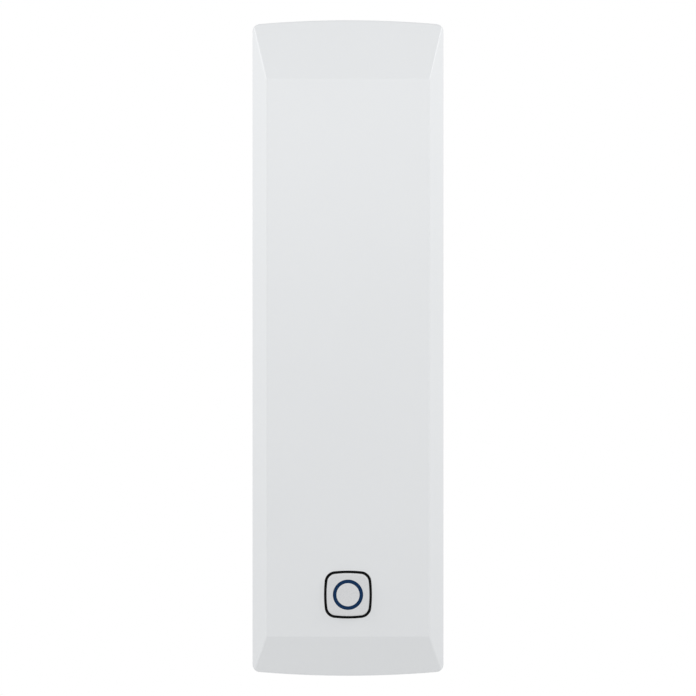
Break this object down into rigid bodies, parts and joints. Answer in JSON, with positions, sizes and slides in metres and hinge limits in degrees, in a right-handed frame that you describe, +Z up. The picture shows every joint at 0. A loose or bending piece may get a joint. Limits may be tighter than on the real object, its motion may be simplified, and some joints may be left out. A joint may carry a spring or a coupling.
{
  "type": "wireless doorbell push",
  "caption": "Slim white wall-mounted bell push with a hipped front, one small lit push button near its lower end, and battery power behind a push-on wall plate.",
  "frame": {"origin": "centre of the wall plate's rear face, which lies on the wall", "axes": "+X to the viewer's right, +Y into the wall, +Z up along the length; the button faces -Y near the lower end"},
  "size_m": [0.0296, 0.0175, 0.102],
  "materials": {
    "cover_abs": "satin moulded ABS, white",
    "button_abs": "moulded ABS, white",
    "ring_diffuser": "translucent blue diffuser",
    "clear_acrylic": "clear acrylic",
    "gasket_rubber": "black silicone rubber",
    "chassis_abs": "moulded ABS, white",
    "seal_rubber": "grey silicone rubber",
    "zinc_steel": "zinc-plated steel",
    "plate_abs": "moulded ABS, white",
    "pad_foam": "closed-cell foam",
    "board_laminate": "glass-fibre laminate, green mask",
    "switch_nylon": "black nylon",
    "tinned_steel": "tinned steel sheet",
    "plunger_nylon": "black nylon",
    "dome_steel": "stainless steel",
    "led_epoxy": "clear epoxy on white",
    "shield_tin": "tinned nickel silver",
    "chip_epoxy": "black moulded epoxy",
    "crystal_can": "seam-welded metal lid",
    "capacitor_can": "aluminium can",
    "passive_ceramic": "ceramic and solder",
    "wire_pvc": "black insulated wire",
    "cell_sleeve": "printed film over a steel can",
    "contact_nickel": "nickel-plated spring steel"
  },
  "bodies": {
    "wall_plate": {"wall_plate": "plate_abs", "battery_pad": "pad_foam"},
    "unit": {"front_cover": "cover_abs", "button_gasket": "gasket_rubber", "chassis": "chassis_abs", "chassis_seal": "seal_rubber", "chassis_screws": "zinc_steel", "circuit_board": "board_laminate", "board_screws": "zinc_steel", "switch_base": "switch_nylon", "switch_frame": "tinned_steel", "switch_dome": "dome_steel", "indicator_leds": "led_epoxy", "radio_shield": "shield_tin", "radio_chip": "chip_epoxy", "processor_chip": "chip_epoxy", "crystal": "crystal_can", "storage_capacitors": "capacitor_can", "board_passives": "passive_ceramic", "antenna_wire": "wire_pvc", "battery_left": "cell_sleeve", "battery_right": "cell_sleeve", "contact_negative": "contact_nickel", "contact_positive": "contact_nickel", "contact_bridge": "contact_nickel"},
    "button": {"button_cap": "button_abs", "light_ring": "ring_diffuser", "light_guide": "clear_acrylic"},
    "plunger": {"switch_plunger": "plunger_nylon"}
  },
  "joints": [
    {"name": "unit_release", "type": "slide", "parent": "wall_plate", "child": "unit", "axis": [0, -1, 0], "range_m": [0, 0.0042]},
    {"name": "button_press", "type": "slide", "parent": "unit", "child": "button", "axis": [0, 1, 0], "range_m": [0, 0.0005], "stiffness_N_per_m": 600, "springref_m": -0.001},
    {"name": "switch_press", "type": "slide", "parent": "unit", "child": "plunger", "axis": [0, 1, 0], "range_m": [0, 0.0005]}
  ],
  "couplings": [
    {"joint": "switch_press", "follows": "button_press", "ratio": 1}
  ]
}
